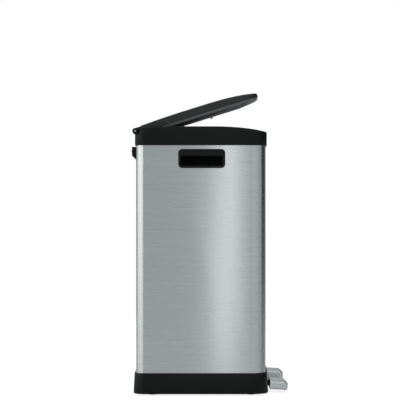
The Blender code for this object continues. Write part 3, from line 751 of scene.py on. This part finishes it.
def pedalSolid(inset, drop, back, rounding):
    # flat-bottomed pad with a bowed toe, low sides and a crowned top that slopes down to the toe
    half = pedal["width"] / 2 - inset
    toe = pedal["toe"] + inset
    low = pedal["bottom"] - drop
    flat = plate((-half, toe), (half, back), low, 0.0045 - inset, 0.0012, segments=6)
    cuts = [((half * i / 8, 0, 0), (1, 0, 0)) for i in range(-7, 8)]
    for share in (0.4, 0.7, 0.9, 1.1, 1.5):
        cuts.append(((0, toe + pedal["noseLength"] * share, 0), (0, 1, 0)))
    for spot, facing in cuts:
        cutAcross(flat, spot, facing)
    top = pedal["bottom"] + pedal["sideHeight"] - inset
    solid = prism(flat, top - low)
    roundOver(solid, rounding, 4, lambda co: co.z > top - 0.0005)
    rise = pedal["height"] - pedal["sideHeight"]
    for vert in solid.verts:
        slope = pedal["noseDrop"] * max(0.0, 1 - (vert.co.y - toe) / pedal["noseLength"])
        here = top + min(rise * (1 - (vert.co.x / half) ** 2), rise + 0.001 - slope)
        fore = min(max((back - vert.co.y) / (back - toe), 0.0), 1.0)
        vert.co.z = low + (here - low) * (vert.co.z - low) / (top - low)
        vert.co.y += pedal["bow"] * (vert.co.x / half) ** 2 * fore
    return outward(solid)


def seatPedal(bm, name):
    # from level, at the lever's height, to the tilt that the lever has at rest
    axis = hinge[f"{name}_pedal"]
    joint = [j for j in frame["joints"] if j["child"] == f"{name}_pedal"][0]
    low, high = joint["range_deg"]
    tilt = math.radians(-(low + high) / 2)
    place = Matrix.Translation((axis.x, 0, axis.z))
    pitchAt = Matrix.Translation((0, pedal["toe"] + pedal["depth"], 0))
    pitch = pitchAt @ Matrix.Rotation(pedal["pitch"], 4, "X") @ pitchAt.inverted()
    swing = Matrix.Translation(axis) @ Matrix.Rotation(tilt, 4, "X") @ Matrix.Translation(-axis)
    bmesh.ops.transform(bm, matrix=swing @ place @ pitch, verts=bm.verts)
    return bm


def makePedal(name):
    back = pedal["toe"] + pedal["depth"]
    # the cap is a bent sheet, open below and at the back
    cap = pedalSolid(0.0, 0.0, back + 0.003, 0.0022)
    cutAcross(cap, (0, back, 0), (0, 1, 0), drop=True)
    under = [face for face in cap.faces if face.normal.z < -0.9]
    bmesh.ops.delete(cap, geom=under, context="FACES")
    bmesh.ops.solidify(cap, geom=cap.faces[:], thickness=pedal["skin"])
    outward(cap)
    finishPiece(f"pedalCap_{name}", seatPedal(cap, name), finish["pedalSteel"], f"{name}_pedal",
                f"pedal_cover_{name}", 40)
    half, grooveHalf = pedal["neckHalf"], pedal["grooveHalf"]
    core = pedalSolid(pedal["skin"] + pedal["gap"], pedal["coreBelow"], back + 0.0005, 0.0014)
    neckBack = (half, back + pedal["neckReach"], pedal["neckHigh"])
    core = weld(core, box((-half, back - 0.010, pedal["neckLow"]), neckBack))
    groove = box((-grooveHalf, back - pedal["leverDepth"], -0.03), (grooveHalf, 0, pedal["grooveTop"]))
    core = roundOver(carve(core, groove), 0.0005, 2)
    finishPiece(f"pedalPad_{name}", seatPedal(core, name), finish["blackPlastic"], f"{name}_pedal",
                f"pedal_core_{name}", 40)


for name in sideNames:
    makePedal(name)
    refine(f"pedal_lever_{name}", finish["zinc"], f"{name}_pedal", 0.0004)
    refine(f"link_pin_{name}", finish["brightSteel"], f"{name}_pedal", 0.0003)
    refine(f"pivot_pin_{name}", finish["brightSteel"], "body", 0.0003)
    refine(f"pivot_bracket_{name}", finish["zinc"], "body", 0.0003)
    refine(f"push_rod_{name}", finish["zinc"], f"{name}_rod", 0.0003)
    refine(f"damper_piston_{name}", finish["brightSteel"], f"{name}_rod", 0.0003)
    refine(f"damper_cylinder_{name}", finish["blackPlastic"], "body", 0.0005)
    refine(f"damper_bracket_{name}", finish["zinc"], "body", 0.0003)
    refine(f"rear_cover_{name}", finish["blackPlastic"], "body", 0.0012, 4)
    for place in ("a", "b"):
        refine(f"cover_screw_{name}_{place}", finish["brightSteel"], "body", 0.0004)
    refine(f"bucket_{name}", finish["bucketPlastic"], "body", 0.0006)
refine("inner_floor", finish["linerPlastic"], "body", 0.0006)
print("stage: pedals and inner pieces made")


# ---- studio ----
studio = {
    "distance": 5.0,
    "cameraY": 0.00425,
    "cameraZ": 0.4818,
    "frameHeight": 0.9832,
    "sensor": 36.0,
}


def makeFloor():
    bm = bmesh.new()
    bmesh.ops.create_circle(bm, cap_ends=True, segments=64, radius=3.0)
    floor = asObject(bm, "studioFloor")
    made, nodes, links, shader, place = startFinish("paleFloor")
    cloud = noiseOn(nodes, links, place, (3, 3, 3))
    tone = ramp(nodes, links, cloud, (0.38, 0.38, 0.38), (0.40, 0.40, 0.40))
    links.new(tone, shader.inputs["Base Color"])
    shader.inputs["Roughness"].default_value = 0.9
    shader.inputs["Specular IOR Level"].default_value = 0.1
    shader.inputs["Emission Color"].default_value = (1, 1, 1, 1)
    shader.inputs["Emission Strength"].default_value = 0.86
    # what the object mirrors of the floor is a mid grey, so that steel doesn't turn white
    grey = nodes.new("ShaderNodeBsdfDiffuse")
    grey.inputs["Color"].default_value = (0.62, 0.64, 0.64, 1)
    path = nodes.new("ShaderNodeLightPath")
    seen = nodes.new("ShaderNodeMixShader")
    links.new(path.outputs["Is Camera Ray"], seen.inputs["Fac"])
    links.new(grey.outputs[0], seen.inputs[1])
    links.new(shader.outputs[0], seen.inputs[2])
    links.new(seen.outputs[0], nodes["Material Output"].inputs["Surface"])
    floor.data.materials.append(made)


def areaLight(name, place, target, size, power):
    data = bpy.data.lights.new(name, "AREA")
    data.shape = "RECTANGLE"
    data.size, data.size_y = size
    data.energy = power
    made = bpy.data.objects.new(name, data)
    made.location = place
    made.rotation_euler = (Vector(target) - Vector(place)).to_track_quat("-Z", "Y").to_euler()
    made.visible_camera = False
    bpy.context.scene.collection.objects.link(made)
    return made


def makeWorld():
    world = bpy.data.worlds.new("studio")
    bpy.context.scene.world = world
    world.use_nodes = True
    nodes, links = world.node_tree.nodes, world.node_tree.links
    place = nodes.new("ShaderNodeTexCoord")
    split = nodes.new("ShaderNodeSeparateXYZ")
    links.new(place.outputs["Generated"], split.inputs["Vector"])
    back = nodes.new("ShaderNodeMath")
    back.operation = "MULTIPLY"
    back.inputs[1].default_value = -1
    links.new(split.outputs["X"], back.inputs[0])
    angle = nodes.new("ShaderNodeMath")
    angle.operation = "ARCTAN2"
    links.new(split.outputs["Y"], angle.inputs[0])
    links.new(back.outputs[0], angle.inputs[1])
    share = nodes.new("ShaderNodeMapRange")
    share.inputs["From Min"].default_value = -math.pi
    share.inputs["From Max"].default_value = math.pi
    links.new(angle.outputs[0], share.inputs["Value"])
    tones = nodes.new("ShaderNodeValToRGB")
    # round the horizon: front at 0.25, the left side at 0.5, the back at 0.75
    stops = [(0.0, 0.40), (0.056, 0.20), (0.111, 0.16), (0.144, 0.02), (0.194, 0.02)]
    stops += [(0.236, 0.02), (0.25, 0.50), (0.294, 0.43), (0.358, 0.60), (0.433, 0.66)]
    stops += [(0.482, 0.50), (0.5, 0.465), (0.567, 0.465), (0.589, 1.4), (0.764, 1.5)]
    stops += [(0.78, 1.0), (0.844, 0.6), (0.917, 0.2), (0.967, 0.08), (1.0, 0.45)]
    elements = tones.color_ramp.elements
    elements[0].position, elements[1].position = stops[0][0], stops[-1][0]
    for position, level in stops[1:-1]:
        elements.new(position)
    for element, (position, level) in zip(elements, stops):
        red = level * (0.86 + 0.12 * min(level, 1.0))  # the darker tones are cooler
        element.color = (red, level, level, 1)
    links.new(share.outputs["Result"], tones.inputs["Fac"])
    lighting = nodes["Background"]
    links.new(tones.outputs["Color"], lighting.inputs["Color"])
    white = nodes.new("ShaderNodeBackground")
    white.inputs["Color"].default_value = (1, 1, 1, 1)
    path = nodes.new("ShaderNodeLightPath")
    chosen = nodes.new("ShaderNodeMixShader")
    links.new(path.outputs["Is Camera Ray"], chosen.inputs["Fac"])
    links.new(lighting.outputs[0], chosen.inputs[1])
    links.new(white.outputs[0], chosen.inputs[2])
    links.new(chosen.outputs[0], nodes["World Output"].inputs["Surface"])


def makeCamera():
    data = bpy.data.cameras.new("camera")
    data.sensor_width = studio["sensor"]
    data.lens = studio["sensor"] * studio["distance"] / studio["frameHeight"]
    data.clip_end = 50
    made = bpy.data.objects.new("camera", data)
    made.location = (steelLow.x - studio["distance"], studio["cameraY"], studio["cameraZ"])
    made.rotation_euler = (math.radians(90), 0, math.radians(-90))
    bpy.context.scene.collection.objects.link(made)
    bpy.context.scene.camera = made


makeFloor()
makeWorld()
areaLight("overhead", (0.0, 0.0, 2.6), (0, 0, 0), (2.4, 2.4), 25)
areaLight("strip", (-0.95, -0.085, 0.40), (-0.295, -0.075, 0.40), (0.08, 1.7), 0.35)
makeCamera()
bpy.context.scene.view_settings.view_transform = "Standard"
print("stage: studio made")
